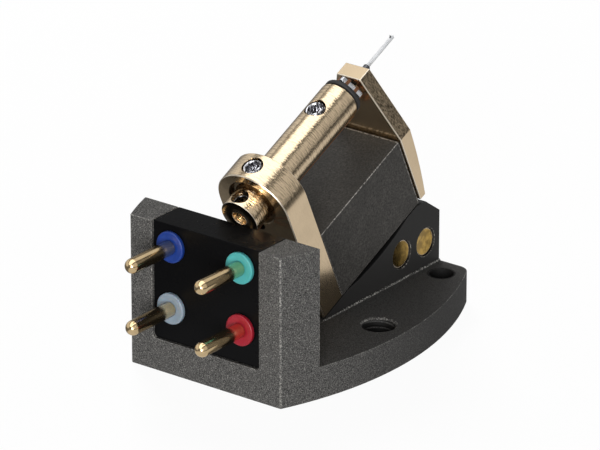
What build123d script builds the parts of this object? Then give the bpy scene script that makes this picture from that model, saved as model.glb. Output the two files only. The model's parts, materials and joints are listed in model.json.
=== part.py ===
from build123d import *
from math import cos, radians, sin, sqrt
import os

os.makedirs("parts", exist_ok=True)

# Moving-coil phono cartridge, lying on its mounting face with the stylus pointing up.
# Origin: midway between the two mounting holes, on the mounting face.
# X runs across, Y forward from the terminals to the stylus, Z up. Lengths in millimetres.

# Clearances
fit = 0.02                       # round a pressed, glued or screwed piece
swing_gap = 0.1                  # either side of the damper
glue_line = 0.05                 # magnet to front yoke
winding_gap = 0.01               # round each layer of wire

# Terminal pins, two columns of two, and their coloured collars
pin_diameter = 1.05
pin_length = 4.43                # collar to the round end
shank_diameter = 0.54            # inside the collar and the block, and the soldering tail ahead of it
pin_column_pitch = 5.9
pin_row_pitch = 4.5
tail_length = 0.8
collar_diameter = 2.25
collar_thickness = 0.32
collar_bevel = 0.07
collar_dish = 0.1

# Terminal block, and the upright frame of the body round it
pin_side_margin = 1.6            # pin centre to the block's side
upper_pin_margin = 1.55          # upper pins to the block's top
lower_pin_margin = 2.52          # lower pins to the pocket's floor
pocket_corner_radius = 0.25
block_recess = 0.2
frame_depth = 3.0
post_width = 1.83                # of each post, on the rear face
edge_break = 0.06
rear_corner_radius = 0.15
post_corner_radius = 0.12

# Mounting plate
plate_thickness = 2.35
mount_hole_pitch = 12.7
mount_hole_diameter = 2.05       # tapping size of an M2.5 screw
mount_countersink_diameter = 2.6
mount_countersink_angle = 90
ear_margin = 2.23                # mounting hole to the plate's side, at its widest
rear_reach = 11.0                # mounting holes to the rear face
waist_setback = 0.65             # mounting holes back to the widest place
front_corner_radius = 1.0
guard_hole_diameter = 1.75       # for the screws of a stylus guard
guard_hole_offset = 1.55         # pedestal's side to the hole
guard_hole_setback = 1.88        # front face to the hole
front_ear = 0.915                # hole's line to the plate's side, at the front face

# Pedestal with the inclined seat
seat_tilt = 24.6
frame_to_seat = 6.14             # frame's front face to the foot of the seat
pedestal_width = 5.95
seat_overhang = 0.5              # of the magnet, past the end of the seat
nose_flat = 1.05
nose_run = 1.63
nose_drop = 1.15
relief_depth = 0.35              # hollow under the magnet
relief_rear_margin = 0.65
relief_front_margin = 1.75
root_radius = 0.12               # along the foot of the pedestal's sides

# Brass rods across the pedestal
rod_diameter = 2.05
rod_recess = 0.14
rod_front_wall = 0.585           # metal ahead of the front rod
rod_web = 0.68                   # metal between the rods
rod_floor = 0.835                # plate to the rods

# Magnet and yokes, standing on the seat
yoke_setback = 0.25              # foot of the seat to the rear yoke
generator_width = 5.85
rear_yoke_thickness = 2.3
rear_yoke_wall = 1.05            # above the pole piece
stub_groove = 0.35               # radial gap round the stub, in the rear yoke's face
stub_groove_depth = 0.3
yoke_chamfer = 0.1
magnet_width = 5.8
magnet_length = 9.8
magnet_height = 5.8
magnet_to_pole = 2.8             # open space above the magnet
magnet_end_radius = 0.25
front_yoke_thickness = 1.2
front_yoke_toe = 0.62            # thickness at its lower end
front_yoke_bulge = 0.12          # of the tapering face
front_yoke_crown = 0.82          # axis to the flat top
front_yoke_top_width = 2.0
front_yoke_lift = 0.08           # lower end above the level of the seat
front_yoke_chamfer = 0.05
front_yoke_side = 5.67           # height of its upright sides, up to the shoulders

# Pole piece and what it holds
pole_diameter = 2.9
stub_length = 1.55               # behind the rear yoke
pole_front_radius = 0.15
stub_chamfer = 0.08
pipe_diameter = 1.05
pipe_recess = 0.3
set_screw_diameter = 1.4
set_screw_sink = 0.12            # top of the screw below the surface
stub_screw_diameter = 1.2
stub_screw_sink = 0.42
stub_screw_setback = 0.7         # stub's end to its screw
pole_screw_setback = 2.5         # pole piece's front to its screw
screw_chamfer = 0.06
socket_size = 0.7                # across the corners of the hexagon
socket_share = 0.5               # of the screw's length

# Armature that swings in the gap ahead of the pole piece
damper_thickness = 0.3
damper_margin = 0.03             # inside the pole piece's edge
damper_radius = 0.08
former_side = 1.84
former_thickness = 0.36
former_corner_cut = 0.12
wire_layer = 0.06
winding_width = 1.0
yoke_gap = 0.24                  # coils to front yoke
wire_diameter = 0.2
wire_swing_gap = 0.08            # round the wire in the pipe
wire_hold = 1.0                  # length of wire inside the pipe
ferrule_wall = 0.08
ferrule_reach = 0.8              # ahead of the front yoke
ferrule_swing_gap = 0.28         # round the ferrule in the front yoke
cantilever_diameter = 0.28
cantilever_reach = 4.01          # ahead of the front yoke
cantilever_end_radius = 0.05
tip_setback = 0.22               # cantilever's end to the diamond
tip_diameter = 0.13
tip_height = 0.34                # diamond's point above the axis
tip_taper = 0.16
tip_flat = 0.02

# Coil leads, four fine wires below the pole piece
lead_diameter = 0.08
lead_pitch = 0.1
lead_drop = 0.6                  # below the pole piece
lead_slack = 0.13                # below the coil former's corner
lead_bend = 0.2
lead_hole_diameter = 0.8         # through the rear yoke
lead_exit = 0.7                  # straight run behind the rear yoke
lead_entry = 0.8                 # straight run ahead of each soldering tail

# Levels and half widths that the pieces share
pin_radius = pin_diameter / 2
shank_radius = shank_diameter / 2
pin_reach = collar_thickness + pin_length
block_width = pin_column_pitch + 2 * pin_side_margin
block_height = lower_pin_margin + pin_row_pitch + upper_pin_margin
rear_y = -rear_reach
frame_front_y = rear_y + frame_depth
block_rear_y = rear_y + block_recess
rear_half_width = block_width / 2 + post_width
waist_half_width = mount_hole_pitch / 2 + ear_margin
pedestal_half_width = pedestal_width / 2
generator_half_width = generator_width / 2
pole_radius = pole_diameter / 2
pipe_radius = pipe_diameter / 2
rear_yoke_crown = pole_radius + rear_yoke_wall
pipe_bore_radius = wire_diameter / 2 + wire_swing_gap
cantilever_radius = cantilever_diameter / 2
ferrule_bore_radius = cantilever_radius + fit
ferrule_radius = ferrule_bore_radius + ferrule_wall
axis_height = magnet_height + magnet_to_pole + pole_radius

former_half_diagonal = former_side * sqrt(0.5)
lead_level = max(pole_radius, former_half_diagonal) + lead_drop

# Distances along the seat, from its foot
rear_yoke_at = yoke_setback
magnet_at = rear_yoke_at + rear_yoke_thickness
magnet_end = magnet_at + magnet_length
front_yoke_at = magnet_end + glue_line
front_yoke_face = front_yoke_at + front_yoke_thickness
seat_end = magnet_end - seat_overhang
winding_step = wire_layer + winding_gap
coil_depth = former_thickness + 4 * winding_step
coil_at = front_yoke_at - yoke_gap - coil_depth
former_at = coil_at + 2 * winding_step
former_front = former_at + former_thickness
damper_at = coil_at - swing_gap - damper_thickness
pole_front = damper_at - swing_gap
stub_end = rear_yoke_at - stub_length
cantilever_end = front_yoke_face + cantilever_reach
tip_at = cantilever_end - tip_setback

# The seat and the axis of the pole piece, which runs parallel to it
tilt = radians(seat_tilt)
foot_y = frame_front_y + frame_to_seat
seat_end_y = foot_y + seat_end * cos(tilt)
seat_end_z = plate_thickness + seat_end * sin(tilt)
front_y = seat_end_y + nose_flat + nose_run
seat = Plane(origin=(0, foot_y, plate_thickness), x_dir=(1, 0, 0), z_dir=(0, -sin(tilt), cos(tilt)))
forward = seat.y_dir
upward = seat.z_dir
axis_start = seat.from_local_coords((0, 0, axis_height))
pole_axis = Axis(axis_start, forward)
along = Plane(origin=axis_start, x_dir=forward, z_dir=(1, 0, 0))


def across(distance):
    """Plane square to the pole axis, facing forward, with its own y upward."""
    origin = seat.from_local_coords((0, distance, axis_height))
    return Plane(origin=origin, x_dir=(-1, 0, 0), z_dir=forward)


def above(distance, height):
    """Plane parallel to the seat, a height above the pole axis."""
    origin = seat.from_local_coords((0, distance, axis_height + height))
    return Plane(origin=origin, x_dir=(1, 0, 0), z_dir=upward)


def seat_point(distance, depth=0):
    """Point of the pedestal's side view, on the seat or a depth below it."""
    y = foot_y + distance * cos(tilt) + depth * sin(tilt)
    z = plate_thickness + distance * sin(tilt) - depth * cos(tilt)
    return (y, z)


# Body: plate, terminal frame and pedestal, machined from one billet
rod_bore_radius = rod_diameter / 2 + fit
front_rod_y = front_y - rod_front_wall - rod_bore_radius
rods_y = (front_rod_y, front_rod_y - rod_web - 2 * rod_bore_radius)
rods_z = plate_thickness + rod_floor + rod_bore_radius
relief_start = magnet_at + relief_rear_margin
relief_end = magnet_end - relief_front_margin
mount_holes = [(-mount_hole_pitch / 2, 0), (mount_hole_pitch / 2, 0)]
guard_x = pedestal_half_width + guard_hole_offset
guard_holes = [(-guard_x, front_y - guard_hole_setback), (guard_x, front_y - guard_hole_setback)]
front_half_width = guard_x + front_ear

with BuildPart() as body:
    with BuildSketch() as plan:
        with BuildLine():
            Line((-rear_half_width, rear_y), (rear_half_width, rear_y))
            Line((-front_half_width, front_y), (front_half_width, front_y))
            for side in (-1, 1):
                waist = (side * waist_half_width, -waist_setback)
                TangentArc(waist, (side * rear_half_width, rear_y), tangent=(0, -1))
                TangentArc(waist, (side * front_half_width, front_y), tangent=(0, 1))
        make_face()
        fillet(plan.vertices().group_by(Axis.Y)[-1], front_corner_radius)
        fillet(plan.vertices().group_by(Axis.Y)[0], rear_corner_radius)
    extrude(amount=plate_thickness)
    # Frame: the rear of the same outline, carried up round the terminals
    with BuildSketch(Plane.XY.offset(plate_thickness)) as frame_plan:
        add(plan.sketch_local)
        with Locations((0, rear_y + frame_depth / 2)):
            Rectangle(2 * waist_half_width, frame_depth, mode=Mode.INTERSECT)
        fillet(frame_plan.vertices().group_by(Axis.Y)[-1], post_corner_radius)
    extrude(amount=block_height)
    # Pocket for the terminal block, open at the top
    with BuildSketch(Plane.XZ.offset(-rear_y)) as pocket:
        with Locations((0, plate_thickness + block_height / 2)):
            Rectangle(block_width, block_height)
        fillet(pocket.vertices().group_by(Axis.Y)[0], pocket_corner_radius)
    extrude(amount=-frame_depth, mode=Mode.SUBTRACT)
    chamfer(body.faces().group_by(Axis.Z)[-1].edges(), edge_break)
    # Pedestal: the seat with its hollow, the flat nose and the sloping front
    with BuildSketch(Plane.YZ):
        with BuildLine():
            Line(seat_point(0), seat_point(relief_start))
            ThreePointArc(
                seat_point(relief_start),
                seat_point((relief_start + relief_end) / 2, relief_depth),
                seat_point(relief_end),
            )
            Line(seat_point(relief_end), seat_point(seat_end))
            Polyline(
                seat_point(seat_end),
                (seat_end_y + nose_flat, seat_end_z),
                (front_y, seat_end_z - nose_drop),
                (front_y, 0),
                (foot_y, 0),
                seat_point(0),
            )
        make_face()
    extrude(amount=pedestal_half_width, both=True)
    # Small round along the root of the pedestal
    with BuildSketch(Plane.XZ.offset(-front_y)):
        root = (pedestal_half_width, plate_thickness)
        with BuildLine():
            Line(root, (root[0] + root_radius, root[1]))
            RadiusArc((root[0] + root_radius, root[1]), (root[0], root[1] + root_radius), -root_radius)
            Line((root[0], root[1] + root_radius), root)
        make_face()
        mirror(about=Plane.YZ)
    extrude(amount=front_y - foot_y)
    # Bores for the two rods
    with BuildSketch(Plane.YZ):
        with Locations(*[(y, rods_z) for y in rods_y]):
            Circle(rod_bore_radius)
    extrude(amount=pedestal_half_width, both=True, mode=Mode.SUBTRACT)
    with Locations(Plane.XY.offset(plate_thickness)):
        with Locations(*mount_holes):
            CounterSinkHole(
                mount_hole_diameter / 2,
                mount_countersink_diameter / 2,
                counter_sink_angle=mount_countersink_angle,
            )
        with Locations(*guard_holes):
            Hole(guard_hole_diameter / 2)
body.part.label = "body"
export_step(body.part, "parts/body.step")

# Terminal block, let into the frame from the rear and level with its top
column_x = pin_column_pitch / 2
lower_z = plate_thickness + lower_pin_margin
upper_z = lower_z + pin_row_pitch
pin_places = {
    "left_signal": (-column_x, lower_z),
    "left_return": (-column_x, upper_z),
    "right_signal": (column_x, lower_z),
    "right_return": (column_x, upper_z),
}
block_depth = frame_depth - block_recess

with BuildPart() as terminal_block:
    with BuildSketch(Plane.XZ.offset(-block_rear_y)) as block_face:
        with Locations((0, plate_thickness + (block_height + fit) / 2)):
            Rectangle(block_width - 2 * fit, block_height - fit)
        fillet(block_face.vertices().group_by(Axis.Y)[0], pocket_corner_radius)
        with Locations(*pin_places.values()):
            Circle(shank_radius + fit, mode=Mode.SUBTRACT)
    extrude(amount=-block_depth)
terminal_block.part.label = "terminal_block"
export_step(terminal_block.part, "parts/terminal_block.step")

# Pins with round ends behind and thin soldering tails ahead, and the dished collars that mark them
for name, (pin_x, pin_z) in pin_places.items():
    pin_side = Plane(origin=(pin_x, block_rear_y, pin_z), x_dir=(0, -1, 0), z_dir=(1, 0, 0))
    pin_axis = Axis((pin_x, block_rear_y, pin_z), (0, -1, 0))
    round_start = pin_reach - pin_radius
    round_mid = pin_radius * sqrt(0.5)

    with BuildPart() as pin:
        with BuildSketch(pin_side):
            with BuildLine():
                Polyline(
                    (pin_reach, 0),
                    (-block_depth - tail_length, 0),
                    (-block_depth - tail_length, shank_radius),
                    (collar_thickness, shank_radius),
                    (collar_thickness, pin_radius),
                    (round_start, pin_radius),
                )
                ThreePointArc(
                    (round_start, pin_radius), (round_start + round_mid, round_mid), (pin_reach, 0)
                )
            make_face()
        revolve(axis=pin_axis)
    pin.part.label = f"{name}_pin"
    export_step(pin.part, f"parts/{name}_pin.step")

    with BuildPart() as collar:
        with BuildSketch(pin_side):
            with BuildLine():
                Polyline(
                    (0, shank_radius + fit),
                    (0, collar_diameter / 2),
                    (collar_thickness - collar_bevel, collar_diameter / 2),
                    (collar_thickness, collar_diameter / 2 - collar_bevel),
                    (collar_thickness, pin_radius + collar_dish),
                    (collar_thickness - collar_dish, shank_radius + fit),
                    close=True,
                )
            make_face()
        revolve(axis=pin_axis)
    collar.part.label = f"{name}_collar"
    export_step(collar.part, f"parts/{name}_collar.step")

# Brass rods, a little below the pedestal's sides
for name, rod_y in zip(("front_rod", "rear_rod"), rods_y):
    with BuildPart() as rod:
        with BuildSketch(Plane.YZ):
            with Locations((rod_y, rods_z)):
                Circle(rod_diameter / 2)
        extrude(amount=pedestal_half_width - rod_recess, both=True)
        chamfer(rod.edges().filter_by(GeomType.CIRCLE), edge_break)
    rod.part.label = name
    export_step(rod.part, f"parts/{name}.step")

# Rear yoke: round head that clamps the pole piece, on a foot as wide as the magnet
head_centre = rear_yoke_crown - generator_half_width

with BuildPart() as rear_yoke:
    with BuildSketch(across(rear_yoke_at)):
        with BuildLine():
            Polyline(
                (generator_half_width, head_centre),
                (generator_half_width, -axis_height),
                (-generator_half_width, -axis_height),
                (-generator_half_width, head_centre),
            )
            ThreePointArc(
                (-generator_half_width, head_centre),
                (0, rear_yoke_crown),
                (generator_half_width, head_centre),
            )
        make_face()
    extrude(amount=rear_yoke_thickness)
    yoke_faces = rear_yoke.faces().sort_by(pole_axis)
    chamfer(yoke_faces[0].edges() + yoke_faces[-1].edges(), yoke_chamfer)
    with BuildSketch(across(rear_yoke_at)):
        Circle(pole_radius + fit)
    extrude(amount=rear_yoke_thickness, mode=Mode.SUBTRACT)
    with BuildSketch(across(rear_yoke_at)):
        Circle(pole_radius + stub_groove)
    extrude(amount=stub_groove_depth, mode=Mode.SUBTRACT)
    with BuildSketch(above(rear_yoke_at + rear_yoke_thickness / 2, rear_yoke_crown)):
        Circle(set_screw_diameter / 2 + fit)
    extrude(amount=-rear_yoke_crown, mode=Mode.SUBTRACT)
    with BuildSketch(across(rear_yoke_at)):
        with Locations((0, -lead_level)):
            Circle(lead_hole_diameter / 2)
    extrude(amount=rear_yoke_thickness, mode=Mode.SUBTRACT)
rear_yoke.part.label = "rear_yoke"
export_step(rear_yoke.part, "parts/rear_yoke.step")

# Magnet, with its front end rounded off
with BuildPart() as magnet:
    with BuildSketch(seat):
        with Locations((0, (magnet_at + magnet_end) / 2)):
            Rectangle(magnet_width, magnet_length)
    extrude(amount=magnet_height)
    fillet(magnet.faces().sort_by(pole_axis)[-1].edges(), magnet_end_radius)
magnet.part.label = "magnet"
export_step(magnet.part, "parts/magnet.step")

# Front yoke: sloping shoulders above, a tapering foot below, and a hole for the cantilever
front_yoke_base = front_yoke_lift - axis_height
shoulder = front_yoke_base + front_yoke_side
toe_cut = front_yoke_face - (front_yoke_thickness - front_yoke_toe)

with BuildPart() as front_yoke:
    with BuildSketch(across(front_yoke_at)):
        with BuildLine():
            Polyline(
                (front_yoke_top_width / 2, front_yoke_crown),
                (generator_half_width, shoulder),
                (generator_half_width, front_yoke_base),
                (-generator_half_width, front_yoke_base),
                (-generator_half_width, shoulder),
                (-front_yoke_top_width / 2, front_yoke_crown),
                close=True,
            )
        make_face()
    extrude(amount=front_yoke_thickness)
    with BuildSketch(along):
        with BuildLine():
            Polyline(
                (front_yoke_face, shoulder),
                (front_yoke_face, front_yoke_base),
                (toe_cut, front_yoke_base),
            )
            ThreePointArc(
                (toe_cut, front_yoke_base),
                ((toe_cut + front_yoke_face) / 2 + front_yoke_bulge, (front_yoke_base + shoulder) / 2),
                (front_yoke_face, shoulder),
            )
        make_face()
    extrude(amount=generator_half_width, both=True, mode=Mode.SUBTRACT)
    chamfer(front_yoke.faces().sort_by(pole_axis)[0].edges(), front_yoke_chamfer)
    with BuildSketch(across(front_yoke_at)):
        Circle(ferrule_radius + ferrule_swing_gap)
    extrude(amount=front_yoke_thickness, mode=Mode.SUBTRACT)
front_yoke.part.label = "front_yoke"
export_step(front_yoke.part, "parts/front_yoke.step")

# Pole piece: a bored barrel that runs through the rear yoke and ends behind it in a stub
bore_radius = pipe_radius + fit
stub_screw_at = stub_end + stub_screw_setback
pole_screw_at = pole_front - pole_screw_setback

with BuildPart() as pole_piece:
    with BuildSketch(along) as pole_section:
        with BuildLine():
            Polyline(
                (stub_end, bore_radius),
                (stub_end, pole_radius),
                (pole_front, pole_radius),
                (pole_front, bore_radius),
                close=True,
            )
        make_face()
        outer_corners = pole_section.vertices().group_by(Axis.Y)[-1].sort_by(Axis.X)
        fillet(outer_corners[-1], pole_front_radius)
        chamfer(outer_corners[0], stub_chamfer)
    revolve(axis=pole_axis)
    with BuildSketch(above(pole_screw_at, pole_radius)):
        Circle(set_screw_diameter / 2 + fit)
    extrude(amount=-pole_radius, mode=Mode.SUBTRACT)
    with BuildSketch(above(stub_screw_at, pole_radius)):
        Circle(stub_screw_diameter / 2 + fit)
    extrude(amount=-pole_radius, mode=Mode.SUBTRACT)
pole_piece.part.label = "pole_piece"
export_step(pole_piece.part, "parts/pole_piece.step")

# Suspension pipe in the pole piece's bore
with BuildPart() as suspension_pipe:
    with BuildSketch(across(stub_end + pipe_recess)):
        Circle(pipe_radius)
        Circle(pipe_bore_radius, mode=Mode.SUBTRACT)
    extrude(amount=pole_front - stub_end - pipe_recess)
suspension_pipe.part.label = "suspension_pipe"
export_step(suspension_pipe.part, "parts/suspension_pipe.step")

# Socket set screws: one in the rear yoke on the pole piece, two in the pole piece on the pipe
screws = {
    "yoke_set_screw": (
        rear_yoke_at + rear_yoke_thickness / 2,
        pole_radius + fit,
        rear_yoke_crown - set_screw_sink,
        set_screw_diameter,
    ),
    "pole_set_screw": (pole_screw_at, bore_radius, pole_radius - set_screw_sink, set_screw_diameter),
    "stub_set_screw": (stub_screw_at, bore_radius, pole_radius - stub_screw_sink, stub_screw_diameter),
}
for name, (distance, base, top, diameter) in screws.items():
    length = top - base
    with BuildPart() as screw:
        with BuildSketch(above(distance, base)):
            Circle(diameter / 2)
        extrude(amount=length)
        chamfer(screw.faces().sort_by(Axis(axis_start, upward))[-1].edges(), screw_chamfer)
        with BuildSketch(above(distance, top)):
            RegularPolygon(socket_size / 2, 6)
        extrude(amount=-length * socket_share, mode=Mode.SUBTRACT)
    screw.part.label = name
    export_step(screw.part, f"parts/{name}.step")

# Rubber damper ring, between the pole piece and the coils
with BuildPart() as damper:
    with BuildSketch(across(damper_at)):
        Circle(pole_radius - damper_margin)
        Circle(wire_diameter / 2 + fit, mode=Mode.SUBTRACT)
    extrude(amount=damper_thickness)
    rims = damper.edges().filter_by(GeomType.CIRCLE).group_by(SortBy.RADIUS)[-1]
    fillet(rims, damper_radius)
damper.part.label = "damper"
export_step(damper.part, "parts/damper.step")

# Suspension wire, from inside the pipe through the damper into the ferrule
with BuildPart() as suspension_wire:
    with BuildSketch(across(pole_front - wire_hold)):
        Circle(wire_diameter / 2)
    extrude(amount=former_at + former_thickness / 2 - pole_front + wire_hold)
suspension_wire.part.label = "suspension_wire"
export_step(suspension_wire.part, "parts/suspension_wire.step")

# Coil former: a square plate standing on its corner
core_radius = ferrule_radius + fit

with BuildPart() as coil_former:
    with BuildSketch(across(former_at)) as former_face:
        Rectangle(former_side, former_side, rotation=45)
        chamfer(former_face.vertices(), former_corner_cut)
        Circle(core_radius, mode=Mode.SUBTRACT)
    extrude(amount=former_thickness)
coil_former.part.label = "coil_former"
export_step(coil_former.part, "parts/coil_former.step")

# Two windings cross on the former: the left channel's beneath, the right channel's over it
former_centre = seat.from_local_coords((0, former_at + former_thickness / 2, axis_height))
sideways = Vector(1, 0, 0)

for name, lean, under in (("left_coil", -1, 0), ("right_coil", 1, winding_step)):
    run = (sideways * lean + upward).normalized()
    winding_plane = Plane(origin=former_centre, x_dir=run, z_dir=run.cross(forward))
    inner_length = former_side + 2 * winding_gap
    inner_depth = former_thickness + 2 * winding_gap + 2 * under
    with BuildPart() as coil:
        with BuildSketch(winding_plane):
            Rectangle(inner_length + 2 * wire_layer, inner_depth + 2 * wire_layer)
            Rectangle(inner_length, inner_depth, mode=Mode.SUBTRACT)
        extrude(amount=winding_width / 2, both=True)
        with BuildSketch(across(coil_at)):
            Circle(core_radius)
        extrude(amount=coil_depth, mode=Mode.SUBTRACT)
    coil.part.label = name
    export_step(coil.part, f"parts/{name}.step")

# Ferrule: the small tube that joins the coil former and the cantilever
with BuildPart() as ferrule:
    with BuildSketch(across(coil_at)):
        Circle(ferrule_radius)
        Circle(ferrule_bore_radius, mode=Mode.SUBTRACT)
    extrude(amount=front_yoke_face + ferrule_reach - coil_at)
ferrule.part.label = "ferrule"
export_step(ferrule.part, "parts/ferrule.step")

# Cantilever rod, with a cross hole for the diamond
with BuildPart() as cantilever:
    with BuildSketch(across(former_front)):
        Circle(cantilever_radius)
    extrude(amount=cantilever_end - former_front)
    fillet(cantilever.faces().sort_by(pole_axis)[-1].edges(), cantilever_end_radius)
    with BuildSketch(above(tip_at, 0)):
        Circle(tip_diameter / 2 + fit)
    extrude(amount=cantilever_radius, both=True, mode=Mode.SUBTRACT)
cantilever.part.label = "cantilever"
export_step(cantilever.part, "parts/cantilever.step")

# Diamond: a shank through the cantilever, ending in a cone
with BuildPart() as stylus_tip:
    with BuildSketch(along):
        with BuildLine():
            Polyline(
                (tip_at, -cantilever_radius),
                (tip_at + tip_diameter / 2, -cantilever_radius),
                (tip_at + tip_diameter / 2, tip_height - tip_taper),
                (tip_at + tip_flat / 2, tip_height),
                (tip_at, tip_height),
                close=True,
            )
        make_face()
    revolve(axis=Axis(seat.from_local_coords((0, tip_at, axis_height)), upward))
stylus_tip.part.label = "stylus_tip"
export_step(stylus_tip.part, "parts/stylus_tip.step")

# Coil leads: from the coils, under the pole piece, through the rear yoke to the tails of the pins
lead_order = ("left_signal", "left_return", "right_return", "right_signal")
outer_lead_x = (len(lead_order) - 1) / 2 * lead_pitch

for name, (pin_x, pin_z) in pin_places.items():
    lead_x = lead_order.index(name) * lead_pitch - outer_lead_x
    tail_end_y = block_rear_y + block_depth + tail_length
    with BuildPart() as lead:
        with BuildLine() as route:
            FilletPolyline(
                seat.from_local_coords((lead_x, former_at, axis_height - former_half_diagonal - lead_slack)),
                seat.from_local_coords((lead_x, former_at, axis_height - lead_level)),
                seat.from_local_coords((lead_x, rear_yoke_at - lead_exit, axis_height - lead_level)),
                (pin_x, tail_end_y + lead_entry, pin_z),
                (pin_x, tail_end_y, pin_z),
                radius=lead_bend,
            )
        with BuildSketch(Plane(origin=route.line @ 0, z_dir=route.line % 0)):
            Circle(lead_diameter / 2)
        sweep(path=route.line)
    lead.part.label = f"{name}_lead"
    export_step(lead.part, f"parts/{name}_lead.step")
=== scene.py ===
import json
import math

import bmesh
import bpy
from bpy.props import FloatProperty, FloatVectorProperty, IntProperty, PointerProperty
from bpy.types import Operator, Panel, PropertyGroup
from mathutils import Matrix, Vector


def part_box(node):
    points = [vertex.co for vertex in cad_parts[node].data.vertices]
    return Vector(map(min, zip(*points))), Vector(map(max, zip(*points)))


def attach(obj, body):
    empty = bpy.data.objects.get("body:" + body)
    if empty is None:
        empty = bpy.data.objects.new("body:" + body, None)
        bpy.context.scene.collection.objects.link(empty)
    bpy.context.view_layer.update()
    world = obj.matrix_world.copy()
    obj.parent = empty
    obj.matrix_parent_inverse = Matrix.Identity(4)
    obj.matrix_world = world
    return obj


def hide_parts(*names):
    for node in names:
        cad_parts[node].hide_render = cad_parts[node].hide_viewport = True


bl_info = {
    "name": "Moving-coil phono cartridge",
    "version": (1, 0, 0),
    "blender": (4, 5, 0),
    "location": "3D View > Sidebar > Cartridge",
    "description": "Dresses the packed cartridge with rounded edges, turned pieces, windings and finishes",
    "category": "Object",
}

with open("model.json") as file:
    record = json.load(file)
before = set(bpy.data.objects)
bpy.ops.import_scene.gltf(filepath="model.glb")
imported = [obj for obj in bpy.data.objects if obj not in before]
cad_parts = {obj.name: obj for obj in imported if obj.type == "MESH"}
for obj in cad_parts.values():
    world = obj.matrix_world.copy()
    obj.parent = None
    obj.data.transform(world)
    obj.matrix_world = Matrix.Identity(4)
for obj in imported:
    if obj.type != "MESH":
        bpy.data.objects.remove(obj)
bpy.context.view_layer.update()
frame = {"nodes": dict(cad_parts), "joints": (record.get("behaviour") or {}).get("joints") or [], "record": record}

MM = 0.001
WELD = MM * 1e-3
FINE_WELD = MM * 1e-4
HOUSING = "housing"
SUSPENSION = "suspension"
ARM = "stylus_arm"
CHANNELS = ("left_signal", "left_return", "right_signal", "right_return")

# The line of the pole piece: both stylus joints turn about one point on it
joints = {joint["name"]: joint for joint in frame["joints"]}
pivot = Vector(joints["stylus_lateral"]["pos_m"])
sideways = Vector((1, 0, 0))
upward = Vector(joints["stylus_lateral"]["axis"]).normalized()
forward = upward.cross(sideways)

# Directions of the plate, and the point between its mounting holes
lengthwise = Vector((0, 1, 0))
vertical = Vector((0, 0, 1))
origin = Vector((0, 0, 0))
mounts = {mount["name"]: mount for mount in frame["record"]["mounts"]}

# Shares of a set screw's radius: outer rim, floor and inner rim of the ring turned in its face
SCREW_RING = (0.78, 0.72, 0.6)
# Brightness of each set screw's ground streaks, painted as glints
SCREW_GLINT = {"yoke_set_screw": 2.5, "pole_set_screw": 2.5, "stub_set_screw": 0.5}

# How squarely the front yoke's shoulders face sideways
SHOULDER_SLOPE = 0.94

# Stage, in metres
FLOOR_REACH = 1.5
FLOOR_DROP = MM * 0.01
TENT_RADIUS = 0.22
TENT_REACH = 0.35
KEY_SPOT = (0.248, -0.394, 0.1)
KEY_SIDE = 0.22
FILL_SPOT = (-0.27, 0.22, 0.28)
FILL_SIDE = 0.16

# The tent's stripes, from its right foot over the top to its left foot: place and brightness
TENT_STRIPES = (
    (0.02, 0.02),
    (0.05, 0.32),
    (0.29, 0.34),
    (0.33, 0.03),
    (0.37, 0.04),
    (0.4, 1.1),
    (0.64, 1.1),
    (0.675, 0.4),
    (0.705, 0.36),
    (0.72, 0.04),
    (0.74, 0.05),
    (0.77, 0.45),
    (0.98, 0.34),
)


def paint(red, green, blue):
    """An 8-bit display colour as the linear colour that a shader takes."""
    shares = [level / 255 for level in (red, green, blue)]
    return tuple(s / 12.92 if s <= 0.04045 else ((s + 0.055) / 1.055) ** 2.4 for s in shares)


# Near-white colours for rubbed edges, painted brighter as highlights
GILT_RIM_HIGHLIGHT = paint(250, 240, 222)
MILLED_RIM_HIGHLIGHT = paint(252, 244, 228)
MAGNET_RIM_HIGHLIGHT = paint(190, 186, 180)
ROD_RIM_HIGHLIGHT = paint(255, 240, 222)
TARNISH = paint(118, 96, 54)


def number(name, description, default, **kind):
    return FloatProperty(name=name, description=description, default=default, **kind)


def length(name, description, millimetres):
    kind = {"min": 0, "precision": 6, "unit": "LENGTH", "subtype": "DISTANCE"}
    return number(name, description, millimetres * MM, **kind)


def colour(name, description, red, green, blue):
    kind = {"min": 0, "max": 1, "size": 3, "subtype": "COLOR"}
    return FloatVectorProperty(name=name, description=description, default=paint(red, green, blue), **kind)


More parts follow.
